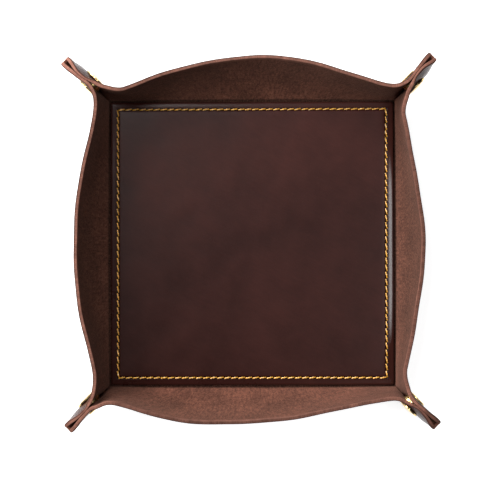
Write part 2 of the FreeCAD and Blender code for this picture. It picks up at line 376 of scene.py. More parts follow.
@cache
def cut_finish():
    """The raw cut edge: pale fibres between a dark dyed line on the grain side and the nap."""
    finish = Finish("sheet_cut")
    place = flat_place(finish)
    layer = finish.node("ShaderNodeAttribute", {"attribute_name": "layer"}, output="Fac")
    speck = finish.noise(place, 3800.0)
    patch = finish.noise(place, 260.0)
    wander = layer + finish.shade(finish.noise(place, 900.0, 2.0), -0.06, 0.06)
    dark = finish.ramp(wander, 0.80, 0.93)
    # Painted highlight: the cut edge is painted paler near the ears
    to_ear = fold_reach(finish, place, "MINIMUM")
    base = finish.toned(
        colours().cut, (speck, 0.62, 1.38), (patch, 0.72, 1.28), (to_ear, 1.0, 1.5, 0.068, 0.082)
    )
    finish.set(
        Base_Color=finish.mix(dark * 0.8, base, colours().dye_line),
        Roughness=0.85,
        Specular_IOR_Level=0.15,
        Normal=finish.bump(speck, 0.6, 0.0003),
    )
    return finish.material


def panel_finish():
    """The liner panel: dark polished leather with a cloudy dye and a fine grain."""
    finish = Finish("panel_leather")
    half = sizes().panel_half
    place = object_place(finish)
    cloud = finish.noise(place, 16.0, 4.0)
    mottle = finish.noise(place, 75.0, 4.0)
    wave = finish.noise(place, 75.0, 1.0)
    grain = finish.cells(place, 1250.0, "SMOOTH_F1")
    fine = finish.noise(place, 2600.0, 2.0)
    streak = finish.streaks(place, 0.5, (130.0, 700.0, 1.0), 4.0)
    base = finish.toned(
        colours().panel, (cloud, 0.82, 1.18), (mottle, 0.86, 1.14), (streak, 0.93, 1.07)
    )
    base = finish.mix(finish.ramp(fine, 0.55, 0.75) * 0.25, base, colours().fleck)
    # Painted light makes the panel paler toward the back, painted shade darkens it along the sewn
    # channel, and the border is burnished
    square = fold_reach(finish, place, "MAXIMUM")
    # Distance from the seam line, for the painted shade in the sewn channel
    seam = abs(square - (half - sizes().stitch_inset))
    base = finish.toned(
        base, (finish.axis(place, "Y"), 1.0, 1.5, 0.0, 0.06), (seam, 0.25, 1.0, 0.0004, 0.001)
    )
    burnish = finish.shade(square, 0.0, 1.0, half - 0.0034, half - 0.0027)
    polish = finish.shade(finish.axis(place, "X"), 0.1, 0.78, -0.06, 0.06)
    ripple = finish.bump(wave, 0.1, 0.0012)
    finish.set(
        Base_Color=base,
        Roughness=finish.shade(cloud * 0.5 + mottle * 0.5, 0.33, 0.41) - burnish * 0.08,
        Specular_IOR_Level=0.15,
        Coat_Weight=burnish * polish,
        Coat_Roughness=0.2,
        Normal=finish.bump(grain * 0.6 + fine * 0.4, 0.09, 0.0003, ripple),
    )
    return finish.material


@cache
def thread_finish():
    """Waxed thread: golden, with darker furrows between its fibres."""
    finish = Finish("waxed_thread")
    place = object_place(finish)
    fibre = finish.noise(place, 5200.0, 2.0)
    wax = finish.noise(place, 520.0, 2.0)
    finish.set(
        Base_Color=finish.toned(colours().thread, (fibre, 0.75, 1.2), (wax, 0.85, 1.12)),
        Roughness=finish.shade(fibre, 0.24, 0.36),
        Specular_IOR_Level=1.0,
        Coat_Weight=1.0,
        Coat_Roughness=0.26,
        Coat_IOR=1.8,
        Normal=finish.bump(fibre, 0.25, 0.0001),
    )
    return finish.material


def metal_finish(name, tint, dull):
    """Plated metal with fine scratches and a little tarnish."""
    finish = Finish(name)
    place = object_place(finish)
    tarnish = finish.noise(place, 420.0, 4.0)
    scratch = finish.streaks(place, 0.6, (900.0, 14000.0, 900.0), 2.0)
    dark = [part * 0.5 for part in tint]
    finish.set(
        Base_Color=finish.mix(finish.ramp(tarnish, 0.5, 0.75) * 0.45, tint, dark),
        Metallic=1.0,
        Roughness=finish.shade(tarnish * 0.6 + scratch * 0.4, dull - 0.08, dull + 0.12),
        Normal=finish.bump(scratch, 0.06, 0.00005),
    )
    return finish.material


def rising(value, start, run):
    """A smooth ramp from 0 at a start to 1 a run further on."""
    share = np.clip((value - start) / run, 0.0, 1.0)
    return share * share * (3 - 2 * share)


def swell(value, rise, fall):
    """A smooth rise to 1 and a straight fall back to 0, each given by its start and its run."""
    start, run = fall
    return rising(value, *rise) * (1 - np.clip((value - start) / run, 0.0, 1.0))


def fade(distance, reach):
    """1 at no distance, fading softly over a reach."""
    return np.exp(-((distance / reach) ** 2))


def rounding(distance, reach, before, after):
    """What to add to a sharp bend between two directions to round it within a reach."""
    near = np.maximum(reach - np.abs(distance), 0.0) ** 2 / (4 * reach)
    return near[..., None] * (after - before)


def side_turn(side):
    """The turn about the upright axis from the back wall to a side."""
    return np.array(Matrix.Rotation(math.radians(SIDE_TURNS[side]), 3, "Z"))


class Sheet:
    """The leather sheet as a map from its flat cut to the inner face of its folded shape.

    Places are along the back wall and up from its fold line, mirrored at its ends, and on an ear
    up its root and past it. A pair of lengths below is the start and the run of a soft change,
    and a depth is measured in from the cut edge.
    """

    # Steepness of a wall's bow and of an ear's pull, and where that pull sets in
    BOW_POWER, PULL = 1.3, (0.0, 0.012)
    # Reach of a root's bend, as a share of the height up it, and its least
    BEND_SHARE, BEND_LEAST = 0.28, 0.00005
    # Where an ear's layers part above the fold corner, and where their rims do
    FOOT, PINCH_END, PINCH_DEPTH = (0.0, 0.006), (0.014, 0.010), 0.0052
    # Where the layers stay almost shut, low and close to the root
    SHUT_UP, SHUT_PAST, SHUT_SHARE = (0.012, 0.006), (0.0025, 0.004), 0.85
    # Leather that a snap holds still, and how soon it is free to stand out or lean
    SNAP_HOLD, STAND_FREE, LEAN_FREE = 0.0055, 0.0055, 0.008
    # Where the top of a root stands out, and where a tip leans over
    STAND_UP, STAND_REACH, LEAN_PAST, LEAN_DEPTH = (0.014, 0.016), 0.0075, (0.003, 0.012), 0.008
    # The slight bulge of an ear's rim
    BULGE, BULGE_RISE, BULGE_FALL, BULGE_DEPTH = 0.0005, (0.003, 0.008), (0.010, 0.014), 0.0045
    # Thickness pressed out of a cap's and a stud's layer at the rim
    PRESSED, PRESS_RISE, PRESS_FALL = (0.0009, 0.0003), (0.002, 0.008), (0.009, 0.013)
    PRESS_DEPTH, SKIVE_DEPTH = 0.0042, 0.0015
    # Height up to which the leather is thin above a fold corner, and its least share
    TIGHT_UP, TIGHT_LEAST = 0.007, 0.3
    # Pace and size of the walls' waver, its shift from wall to wall, its ends, and the belly
    WAVES, WAVE_SHIFT, WAVE_ENDS, BELLY = ((95, 0.00035), (230, 0.00012)), 1.7, (0.0, 0.03), 0.0019
    # Small step for finding a slope
    STEP = 0.00002

    def __init__(self, side):
        size = sizes()
        self.side = side
        self.fold = size.fold_half
        self.thick = size.thickness
        self.width = size.wall_width
        self.fold_round = size.fold_round
        self.skive = size.rim_skive
        self.deep = size.ear_gap / 2
        self.shut = size.rim_gap / 2
        self.end_lean = size.end_lean
        self.mid_lean = math.radians(MID_LEANS[side])
        self.draws = [math.radians(draw) for draw in DRAWN_LEANS[side]]
        self.peak = PEAK_SHARES[side] * self.fold
        self.flat_root = math.atan(math.cos(self.end_lean))
        self.corner = np.array([self.fold, self.fold, self.thick])
        self.out = np.array([1.0, 1.0, 0.0]) / math.sqrt(2)
        self.apart = np.array([-1.0, 1.0, 0.0]) / math.sqrt(2)
        root_lean = math.atan(math.sqrt(2) / math.tan(self.end_lean))
        up = np.array([0.0, 0.0, 1.0])
        self.root = math.sin(root_lean) * self.out + math.cos(root_lean) * up
        self.ear = math.cos(root_lean) * self.out - math.sin(root_lean) * up
        rise = np.array([0.0, math.cos(self.end_lean), math.sin(self.end_lean)])
        along = np.array([1.0, 0.0, 0.0])
        self.wall = math.cos(self.flat_root) * along - math.sin(self.flat_root) * rise
        corners = [WALL_ENDS[side, end].rsplit("_", 1)[0] for end in (-1, 1)]
        self.tip_leans = [EAR_LEANS[corner] for corner in corners]
        self.radii = [TRIM_RADII[corner] for corner in corners]
        self.root_shifts = [ROOT_SHIFTS.get(corner, (0.0, 0.0)) for corner in corners]
        snap_low, snap_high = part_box("back_right_snap_cap")
        snap = (np.array(snap_low) + np.array(snap_high)) / 2 - self.corner
        self.snap_high, self.snap_past = snap @ self.root, snap @ self.ear

    @staticmethod
    def by_end(values, along):
        """The one of two values that belongs to the wall's end where each place is."""
        return np.array(values)[(along > 0).astype(int)]

    def lean(self, along):
        """The wall's angle from the floor at places along it."""
        run = np.where(along > self.peak, self.fold - self.peak, self.fold + self.peak)
        inward = np.maximum(0.0, 1 - np.abs(along - self.peak) / run)
        bow = np.sin(inward * math.pi / 2) ** self.BOW_POWER
        from_ear = np.maximum(0.0, self.fold - np.abs(along))
        pull = rising(from_ear, *self.PULL) * (1 - from_ear / self.fold) ** self.BOW_POWER
        lean = self.end_lean + (self.mid_lean - self.end_lean) * bow
        return lean + self.by_end(self.draws, along) * pull

    def depth(self, along, up):
        """Distance from the cut edge."""
        radius = self.by_end(self.radii, along)
        centre = self.width - radius
        past = np.abs(along) - self.fold - centre
        rise = up - centre
        arc = radius - np.hypot(np.maximum(past, 0.0), np.maximum(rise, 0.0))
        return np.where((past > 0) & (rise > 0), arc, self.width - up)

    def root_place(self, along, up):
        """Height along an ear's root line, distance past it, and the reach of its bend."""
        beyond = np.abs(along) - self.fold
        high = beyond * math.sin(self.flat_root) + up * math.cos(self.flat_root)
        past = beyond * math.cos(self.flat_root) - up * math.sin(self.flat_root)
        return high, past, self.BEND_SHARE * np.maximum(high, 0.0) + self.BEND_LEAST

    def ear_plane(self, high, past):
        """The middle plane of an ear."""
        return self.corner + high[..., None] * self.root + past[..., None] * self.ear

    def wall_face(self, along, up):
        """The inner face of a wall and its bottom fold."""
        lean = self.lean(along)
        none, level = np.zeros_like(lean), np.array([0.0, 1.0, 0.0])
        rise = np.stack([none, np.cos(lean), np.sin(lean)], -1)
        out = np.stack([none, np.sin(lean), -np.cos(lean)], -1)
        face = np.stack([np.abs(along), none + self.fold, none + self.thick], -1)
        face = face + up[..., None] * np.where(up[..., None] < 0, level, rise)
        face = face + rounding(up, self.fold_round, level, rise)
        return face + self.sway(along, up)[..., None] * out

    def half_gap(self, along, up):
        """Half of the space between the two layers of an ear."""
        high, past, reach = self.root_place(along, up)
        pinch = (1 - rising(past, *self.PINCH_END)) * fade(self.depth(along, up), self.PINCH_DEPTH)
        gap = self.deep + (self.shut - self.deep) * pinch
        gap = gap * rising(past / reach, -1.0, 2.0) * rising(high, *self.FOOT)
        low = (1 - rising(high, *self.SHUT_UP)) * (1 - rising(past, *self.SHUT_PAST))
        return gap * (1 - self.SHUT_SHARE * low)

    def point(self, along, up):
        """The inner face at flat places, on the back wall."""
        mirror = np.where(along < 0, -1.0, 1.0)
        high, past, reach = self.root_place(along, up)
        ear, wall = self.ear_plane(high, past), self.wall_face(along, up)
        place = np.where(past[..., None] > 0, ear, wall)
        place = place + rounding(past, reach, self.wall, self.ear)
        stand = rising(high, *self.STAND_UP) * fade(past, self.STAND_REACH)
        stand = stand * self.free_of_snap(high, past, self.STAND_FREE)
        shift = stand[..., None] * self.by_end(self.root_shifts, along)
        gap = self.half_gap(along, up) + mirror * (self.tip_lean(along, up) + shift[..., 1])
        place = place + gap[..., None] * self.apart + shift[..., :1] * self.out
        return place * np.stack([mirror, np.ones_like(mirror), np.ones_like(mirror)], -1)

    def free_of_snap(self, high, past, run):
        """0 in the leather that a snap holds, and 1 a run outside it."""
        distance = np.hypot(high - self.snap_high, past - self.snap_past)
        return rising(distance, self.SNAP_HOLD, run)

    def tip_lean(self, along, up):
        """How far an ear leans over to its stud's side, clear of its snap."""
        high, past, _ = self.root_place(along, up)
        depth = self.depth(along, up)
        lean = self.free_of_snap(high, past, self.LEAN_FREE) * rising(past, *self.LEAN_PAST)
        lean = self.by_end(self.tip_leans, along) * lean * fade(depth, self.LEAN_DEPTH)
        bulge = swell(past, self.BULGE_RISE, self.BULGE_FALL) * fade(depth, self.BULGE_DEPTH)
        return lean + self.BULGE * bulge

    def sway(self, along, up):
        """A slight unevenness of the hand folded walls."""
        share = np.clip(up / self.width, 0.0, 1.0)
        shift = SIDES.index(self.side) * self.WAVE_SHIFT
        wave = 0.0
        for number, (pace, size) in enumerate(self.WAVES, 1):
            wave = wave + np.sin(along * pace + number * shift) * size
        ends = rising(self.fold - np.abs(along), *self.WAVE_ENDS)
        return ends * (wave * share + self.BELLY * np.sin(share * math.pi))

    def outward(self, along, up):
        """The unit normal of the inner face, pointing through the leather."""
        across = self.point(along + self.STEP, up) - self.point(along - self.STEP, up)
        upward = self.point(along, up + self.STEP) - self.point(along, up - self.STEP)
        normal = np.cross(upward, across)
        return normal / np.linalg.norm(normal, axis=-1, keepdims=True)

    def leather(self, along, up):
        """The thickness at flat places, thinned along the cut edge and at the fold corners."""
        high, past, reach = self.root_place(along, up)
        depth = self.depth(along, up)
        tight = 1 - np.clip(high / self.TIGHT_UP, self.TIGHT_LEAST, 1.0)
        corner = 1 - tight * rising(past, -reach, reach)
        pressed = swell(past, self.PRESS_RISE, self.PRESS_FALL) * fade(depth, self.PRESS_DEPTH)
        pressed = self.by_end(self.PRESSED, along) * pressed
        return self.thick * corner - self.skive * fade(depth, self.SKIVE_DEPTH) - pressed

    def layer(self, along, up, turns):
        """The inner and the outer face, with their edges turned in, and the flat places."""
        normal = self.outward(along, up)
        thick = self.leather(along, up)
        place = self.point(along, up)
        inner = place + normal * turns[:, None, None]
        outer = place + normal * (thick - turns[:, None])[..., None]
        return self.placed(inner), self.placed(outer), self.flat(along, up)

    def placed(self, points):
        """Points of the back wall turned to this side."""
        return points @ side_turn(self.side).T

    def flat(self, along, up):
        """Places on the whole flat sheet, for the finish."""
        flat = np.stack([along, self.fold + up, np.zeros_like(up)], -1)
        return self.placed(flat)[..., :2]


def arris_rows():
    """Distances from the cut edge, and how far each face has turned in there."""
    radius, turns = sizes().arris, np.linspace(0.0, math.pi / 2, ARRIS_ROWS)
    return radius * (1 - np.sin(turns)), radius * (1 - np.cos(turns))


def leather_piece(name, inner, outer, flat):
    """A closed sheet of leather from the grids of its two faces, rows running to the cut edge."""
    rows, columns = inner.shape[:2]
    count = rows * columns
    across = 4  # strips of faces on the cut edge
    shares = np.arange(1, across) / across
    rim = inner[-1] + shares[:, None, None] * (outer[-1] - inner[-1])
    points = np.concatenate([grid.reshape(-1, 3) for grid in (inner, outer, rim)])
    flats = flat.reshape(-1, 2)
    flats = np.concatenate([flats, flats, np.tile(flat[-1], (across - 1, 1))])
    layers = np.concatenate([np.zeros(count), np.ones(count), np.repeat(shares, columns)])
    first = np.arange(count).reshape(rows, columns)
    second = first + count
    strips = np.arange((across - 1) * columns).reshape(across - 1, columns) + 2 * count
    edge = np.concatenate([first[-1:], strips, second[-1:]])
    faces, finishes = [], []

    def quads(grid, finish):
        for below, above in zip(grid[:-1].tolist(), grid[1:].tolist()):
            faces.extend(zip(below[:-1], below[1:], above[1:], above[:-1]))
        finishes.extend([finish] * (len(faces) - len(finishes)))

    body = rows - ARRIS_ROWS
    quads(first[:body], NAP)
    quads(first[body - 1:], CUT)
    quads(second[:body], GRAIN)
    quads(second[body - 1:], CUT)
    quads(edge, CUT)
    quads(np.stack([first[0], second[0]]), CUT)
    for end in (0, -1):
        quads(np.stack([first[:, end], second[:, end]]), CUT)
        faces.append(tuple(edge[:, end].tolist()))
        finishes.append(CUT)
    mesh = closed_mesh(name, points, faces)
    for finish in (nap_finish(), grain_finish(), cut_finish()):
        mesh.materials.append(finish)
    mesh.polygons.foreach_set("material_index", finishes)
    mesh.attributes.new("layer", "FLOAT", "POINT").data.foreach_set("value", layers)
    lay_flat(mesh, flats)
    return smooth_object(mesh, sharp_angle=40.0)


def closed_mesh(name, points, faces):
    """A closed mesh with all its faces turned outward."""
    mesh = bpy.data.meshes.new(name)
    mesh.from_pydata(points.tolist(), [], faces)
    work = bmesh.new()
    work.from_mesh(mesh)
    bmesh.ops.recalc_face_normals(work, faces=work.faces)
    work.to_mesh(mesh)
    work.free()
    return mesh


def lay_flat(mesh, flats):
    """Give each point of a mesh its place on the flat sheet."""
    corners = np.zeros(len(mesh.loops), int)
    mesh.loops.foreach_get("vertex_index", corners)
    mesh.uv_layers.new(name="flat").data.foreach_set("uv", flats[corners].ravel())


def new_object(name, data):
    """An object in the scene."""
    made = bpy.data.objects.new(name, data)
    bpy.context.scene.collection.objects.link(made)
    return made


def smooth_object(mesh, sharp_angle):
    """An object in the scene, shaded smooth but for edges sharper than an angle."""
    mesh.shade_smooth()
    mesh.set_sharp_from_angle(angle=math.radians(sharp_angle))
    return new_object(mesh.name, mesh)


def stand_for(node):
    """Hide a CAD node, whose place a piece takes."""
    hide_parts(node)


def lay_on_base(mesh, node, sharp_angle):
    """A piece that stays on the base, in the place of a CAD node."""
    made = smooth_object(mesh, sharp_angle)
    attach(made, "base")
    stand_for(node)


def wall_piece(side):
    """One wall with its rounded bottom fold, from the base to the rim and from ear to ear."""
    # Rows on the flange, the fold and the wall, columns, and how these crowd at the ears
    flange_rows, fold_rows, wall_rows, columns, crowding = 3, 11, 26, 121, 0.4 * math.pi
    # Where the turn with the wall starts and ends, across and up from the fold line
    turn_start, turn_end = (-0.0015, -0.0008), (0.001, 0.0026)
    sheet = Sheet(side)
    bend = sheet.fold_round
    arris_depths, arris_turns = arris_rows()
    ups = np.concatenate([
        np.linspace(-FLANGE, -bend, flange_rows)[:-1],
        np.linspace(-bend, bend, fold_rows)[:-1],
        np.linspace(bend, sheet.width - arris_depths[0], wall_rows)[:-1],
        sheet.width - arris_depths,
    ])
    turns = np.concatenate([np.zeros(len(ups) - ARRIS_ROWS), arris_turns])
    shares = np.sin(np.linspace(-1, 1, columns) * crowding) / math.sin(crowding)
    reach = sheet.fold + ups * np.where(ups < 0, 1.0, math.tan(JOIN_TURN))
    along = shares[None, :] * reach[:, None]
    up = np.repeat(ups[:, None], columns, 1)
    made = leather_piece(side + "_wall_leather", *sheet.layer(along, up, turns))
    start, end = (
        side_turn(side) @ np.array([0.0, sheet.fold + across, sheet.thick + rise])
        for across, rise in (turn_start, turn_end)
    )
    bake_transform(made)
    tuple(start)
    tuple(end)
    stand_for(side + "_wall")


def ear_piece(side, end):
    """One layer of an ear, from its wall round the root to half of the crease."""
    # Radians before and after the root where columns are close, and columns in the three parts
    before, after, join_columns, root_columns, flap_columns = 0.16, 0.24, 3, 17, 20
    # Rows, how they crowd at the fold corner, where they start there, and half the turn's reach
    rows, crowding, start, half_turn = 30, 0.8, 0.0004, 0.003
    sheet = Sheet(side)
    arris_depths, arris_turns = arris_rows()
    root = sheet.flat_root
    angles = np.concatenate([
        np.linspace(JOIN_TURN, root - before, join_columns)[:-1],
        np.linspace(root - before, root + after, root_columns)[:-1],
        np.linspace(root + after, math.pi / 4, flap_columns),
    ])
    radius = sheet.radii[end > 0]
    centre = sheet.width - radius
    diagonal = centre * (np.sin(angles) + np.cos(angles))
    arc = diagonal + np.sqrt(diagonal ** 2 - 2 * centre ** 2 + radius ** 2)
    straight = sheet.width / np.cos(angles)
    far = np.where(np.tan(angles) * sheet.width > centre, arc, straight)
    shares = np.linspace(0.0, 1.0, rows)[:-1] ** crowding
    body = start + shares[:, None] * (far - arris_depths[0] - start)
    radii = np.concatenate([body, far - arris_depths[:, None]])
    turns = np.concatenate([np.zeros(len(shares)), arris_turns])
    along = end * (sheet.fold + radii * np.sin(angles))
    up = radii * np.cos(angles)
    layer = sheet.layer(along, up, turns)
    loop = crease_half(sheet, end, along[:, -1], up[:, -1], turns)
    grids = [np.concatenate([flap[:, :-1], bend], 1) for flap, bend in zip(layer, loop)]
    ear = WALL_ENDS[side, end]
    made = leather_piece(ear + "_ear_leather", *grids)
    turn = side_turn(side) @ np.diag([end, 1.0, 1.0])
    across = (sheet.wall + sheet.ear) / np.linalg.norm(sheet.wall + sheet.ear)
    turn @ (sheet.corner - half_turn * across)
    turn @ (sheet.corner + half_turn * across)
    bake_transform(made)
    stand_for(ear + "_flap")


def crease_half(sheet, end, along, up, turns):
    """The columns that carry a layer's lower edge round the crease to the middle of the ear."""
    # Columns, least half gap, squareness of the fold, and its depth for the gap and the leather
    columns, least, square, gap_deep, thick_deep = 11, 0.0001, 0.5, 1.8, 0.5
    # The furrow along its middle, and how narrow that is
    furrow, narrow = 0.22, 10
    mirror = np.array([end, 1.0, 1.0])
    apart = sheet.apart * mirror
    high, past, _ = sheet.root_place(along, up)
    lean = end * sheet.tip_lean(along, up)
    line = (sheet.ear_plane(high, past) + lean[:, None] * sheet.apart) * mirror
    gap = np.maximum((sheet.point(along, up) - line) @ apart, least)
    crease = line[-1] - line[0]
    below = np.cross(crease / np.linalg.norm(crease), apart)
    below = below if below[2] < 0 else -below
    bends = np.linspace(0.0, math.pi / 2, columns)
    across = np.cos(bends) ** square
    down = np.sin(bends) ** square * (1 - furrow * np.sin(bends) ** narrow)
    thick = sheet.leather(along, up)

    def loop(layer):
        wide = (gap + layer)[:, None, None] * (across[:, None] * apart)
        deep = (gap_deep * gap + thick_deep * layer)[:, None, None] * (down[:, None] * below)
        return sheet.placed(line[:, None] + wide + deep)

    step = sheet.placed(np.array([[end, -1.0, 0.0]]) / math.sqrt(2))[:, None, :2]
    run = bends[None, :, None] * (gap + thick / 2)[:, None, None]
    return loop(turns), loop(thick - turns), sheet.flat(along, up)[:, None] + step * run


def square_ring(half, corner, columns):
    """Points once round a square with rounded corners."""
    turn_columns = 6
    straight = half - corner
    side = [(x, half) for x in np.linspace(-straight, straight, columns + 1)]
    for turn in np.linspace(0, math.pi / 2, turn_columns + 1)[1:-1]:
        side.append((straight + corner * math.sin(turn), straight + corner * math.cos(turn)))
    return np.concatenate([np.array(side) @ side_turn(name)[:2, :2].T for name in SIDES])


def tube(rings):
    """Points and faces of a tube through rings of points, closed at both ends."""
    steps, count = rings.shape[:2]
    last = (steps - 1) * count
    faces = [tuple(reversed(range(count))), tuple(range(last, last + count))]
    for low in range(0, last, count):
        for here in range(count):
            after = (here + 1) % count
            faces.append((low + here, low + after, low + count + after, low + count + here))
    return rings.reshape(-1, 3), faces


def joined(parts):
    """Several parts, each of points and faces, as one."""
    points, faces, count = [], [], 0
    for part_points, part_faces in parts:
        points.append(part_points)
        faces.extend(tuple(count + index for index in face) for face in part_faces)
        count += len(part_points)
    return np.concatenate(points), faces


def square_tube(profile, corner_at, columns, shape=None):
    """A solid of square rings from (half side, height) pairs."""
    rings = []
    for half, height in profile:
        ring = square_ring(half, corner_at(half), columns)
        heights = np.full(len(ring), height)
        if shape is not None:
            heights = heights + shape(ring, half)
        rings.append(np.column_stack([ring, heights]))
    return tube(np.array(rings))


def corner_tongues():
    """The pinched leather where two folds and a crease meet, a small tongue at each corner."""
    # A tongue's half sizes, its inset from the fold corner, its height, and its points round
    half_sizes, inset, level, count = (0.0027, 0.0013, 0.00095), 0.0014, 0.0011, 20
    polar = np.linspace(0.0, math.pi, count // 2 + 1)[1:-1]
    angles = np.arange(count) * 2 * math.pi / count
    circle = np.column_stack([np.cos(angles), np.sin(angles), np.zeros(count)])
    rings = np.sin(polar)[:, None, None] * circle
    rings[..., 2] = np.cos(polar)[:, None]
    points, faces = tube(rings)
    points = np.concatenate([points, [(0.0, 0.0, 1.0), (0.0, 0.0, -1.0)]])
    # The tube's two ends become fans round the last two points
    for pole, end in enumerate(faces[:2], len(points) - 2):
        faces += [(pole, here, after) for here, after in zip(end, end[1:] + end[:1])]
    place = (sizes().fold_half * math.sqrt(2) - inset, 0.0, level)
    points = points * half_sizes + place
    for corner in range(4):
        turn = np.array(Matrix.Rotation(math.radians(45 + 90 * corner), 3, "Z"))
        yield points @ turn.T, faces[2:]


def hole_places():
    """The stitch holes along one side, from corner to corner, and the seam's half side."""
    half = sizes().panel_half - sizes().stitch_inset
    return np.linspace(-half, half, sizes().stitch_count + 1), half


def hole_dents(depth, radius):
    """A ring shape that sinks the leather at every stitch hole."""
    holes, seam = hole_places()
    pitch = holes[1] - holes[0]
    reach = 4 * radius  # a dent has faded out here

    def shape(ring, half):
        if abs(half - seam) > reach:
            return np.zeros(len(ring))
        far = np.maximum(np.abs(ring[:, 0]), np.abs(ring[:, 1]))
        near = np.where(np.abs(ring[:, 0]) >= far, ring[:, 1], ring[:, 0])
        off = (near - holes[0] + pitch / 2) % pitch - pitch / 2
        return -depth * np.exp(-(off ** 2 + (far - seam) ** 2) / (2 * radius ** 2))

    return shape


class TRAY_OT_walls(bpy.types.Operator):
    """Fold up the four leather walls"""

    bl_idname = "tray.walls"
    bl_label = "Leather walls"

    def execute(self, context):
        for side in SIDES:
            wall_piece(side)
        return {"FINISHED"}


class TRAY_OT_ears(bpy.types.Operator):
    """Fold the two leather layers of each corner ear"""

    bl_idname = "tray.ears"
    bl_label = "Corner ears"

    def execute(self, context):
        for side, end in WALL_ENDS:
            ear_piece(side, end)
        return {"FINISHED"}


class TRAY_OT_base(bpy.types.Operator):
    """Lay the flat middle of the sheet with its sewn channel underneath"""

    bl_idname = "tray.base"
    bl_label = "Base leather"

    STITCH_COLUMNS = 4
    # Distances from the seam, and how high the channel is cut there
    CHANNEL = (
        (0.001, 0.0), (0.0008, 0.00006), (0.00055, 0.0004), (0.0003, 0.0007), (0.0, 0.00078),
    )

    def execute(self, context):
        size = sizes()
        seam = size.panel_half - size.stitch_inset
        half = size.fold_half - FLANGE
        profile = [(INNER_RINGS[-1], size.thickness), (half, size.thickness), (half, 0.0)]
        profile += [(seam + across, deep) for across, deep in self.CHANNEL]
        profile += [(seam - across, deep) for across, deep in reversed(self.CHANNEL[:-1])]
        profile += [(ring, 0.0) for ring in INNER_RINGS]
        columns = size.stitch_count * self.STITCH_COLUMNS
        middle = square_tube(profile, lambda ring_half: SHARP, columns)
        mesh = closed_mesh("base_leather", *joined([middle, *corner_tongues()]))
        mesh.materials.append(grain_finish())
        lay_flat(mesh, np.array([vertex.co.xy for vertex in mesh.vertices]))
        lay_on_base(mesh, "base_sheet", sharp_angle=35.0)
        return {"FINISHED"}


class TRAY_OT_panel(bpy.types.Operator):
    """Make the liner panel with its pressed border and sewn channel"""

    bl_idname = "tray.panel"
    bl_label = "Liner panel"

    STITCH_COLUMNS = 10
    # Distances in from the edge, and heights from the panel's face
    BORDER = (
        (0.0, -0.0016), (0.00008, -0.001), (0.0002, -0.00064), (0.00045, -0.00053),
        (0.0013, -0.00045), (0.0022, -0.00036), (0.003, -0.00028),
    )
    # Distances in from the seam, and heights from the panel's face
    CHANNEL = (
        (-0.0008, -0.00022), (-0.00055, -0.00027), (-0.0004, -0.00033), (-0.00026, -0.00037),
        (-0.00013, -0.0004), (0.0, -0.00041), (0.00013, -0.0004), (0.00026, -0.00037),
        (0.0004, -0.00031), (0.00055, -0.00024), (0.0008, -0.00016), (0.0012, -0.0001),
        (0.002, -0.00004), (0.004, 0.0),
    )
    HOLE_DEPTH, HOLE_RADIUS = 0.0005, 0.00032

    def execute(self, context):
        size = sizes()
        half, top = size.panel_half, size.panel_top
        seam = half - size.stitch_inset
        profile = [(INNER_RINGS[-1], size.thickness), (half, size.thickness)]
        profile += [(half - across, top + deep) for across, deep in self.BORDER]
        profile += [(seam - across, top + deep) for across, deep in self.CHANNEL]
        profile += [(ring, top) for ring in INNER_RINGS]
        points, faces = square_tube(
            profile,
            lambda ring_half: max(size.panel_corner - (half - ring_half), SHARP),
            size.stitch_count * self.STITCH_COLUMNS,
            hole_dents(self.HOLE_DEPTH, self.HOLE_RADIUS),
        )
        mesh = closed_mesh("liner_panel_leather", points, faces)
        mesh.materials.append(panel_finish())
        lay_on_base(mesh, "liner_panel", sharp_angle=50.0)
        return {"FINISHED"}


def stitch(start, end, slant, level, rise, width):
    """One stitch of two twisted plies, from hole to hole."""
    plies, steps, around = 2, 14, 8
    # Share of the pitch left free at a hole, half turns of twist, and share of a ply left there
    free, twist, thin = 0.03, 2.3, 0.55
    # A ply's radius, and how far it stands to the side and up, as shares of the thread's width
    ply, aside, above = 0.27, 0.23, 0.14
    share = np.linspace(0.0, 1.0, steps)
    pitch = np.linalg.norm(end - start)
    line = (end - start) / pitch
    side = np.array([-line[1], line[0]])
    middle = start + np.outer((free + share * (1 - 2 * free)) * pitch, line)
    middle = middle + np.outer((share - 0.5) * 2 * slant, side)
    arch = np.sqrt(np.clip(np.sin(share * math.pi), 0.0, 1.0))
    height = level + rise * (arch - 1)
    angles = np.arange(around) * 2 * math.pi / around
    circle = np.outer(np.cos(angles), [*side, 0.0]) + np.outer(np.sin(angles), [0.0, 0.0, 1.0])
    fat = ply * width * (thin + (1 - thin) * arch)
    parts = []
    for number in range(plies):
        turn = share * math.pi * twist + number * math.pi
        across, lift = np.cos(turn) * width * aside, np.sin(turn) * width * above
        centre = np.column_stack([middle + across[:, None] * side, height + lift])
        parts.append(tube(centre[:, None] + fat[:, None, None] * circle))
    return joined(parts)


def seam_piece(name, node, level, rise, slants):
    """All the stitches on one face of the seam."""
    # Unevenness from stitch to stitch, its steps along a side and from side to side, and its lift
    uneven, along_step, side_step, lift = 0.06, 12.9, 4.1, 0.0004
    holes, half = hole_places()
    stitches = []
    for side_number, side in enumerate(SIDES):
        turn = side_turn(side)[:2, :2]
        for number, (first, second) in enumerate(zip(holes[:-1], holes[1:])):
            jitter = uneven * math.sin(number * along_step + side_number * side_step)
            stitches.append(stitch(
                turn @ np.array([first, half]),
                turn @ np.array([second, half]),
                slants[side] * (1 + jitter),
                level + jitter * lift,
                rise,
                sizes().thread_width,
            ))
    mesh = closed_mesh(name, *joined(stitches))
    mesh.materials.append(thread_finish())
    lay_on_base(mesh, node, sharp_angle=60.0)


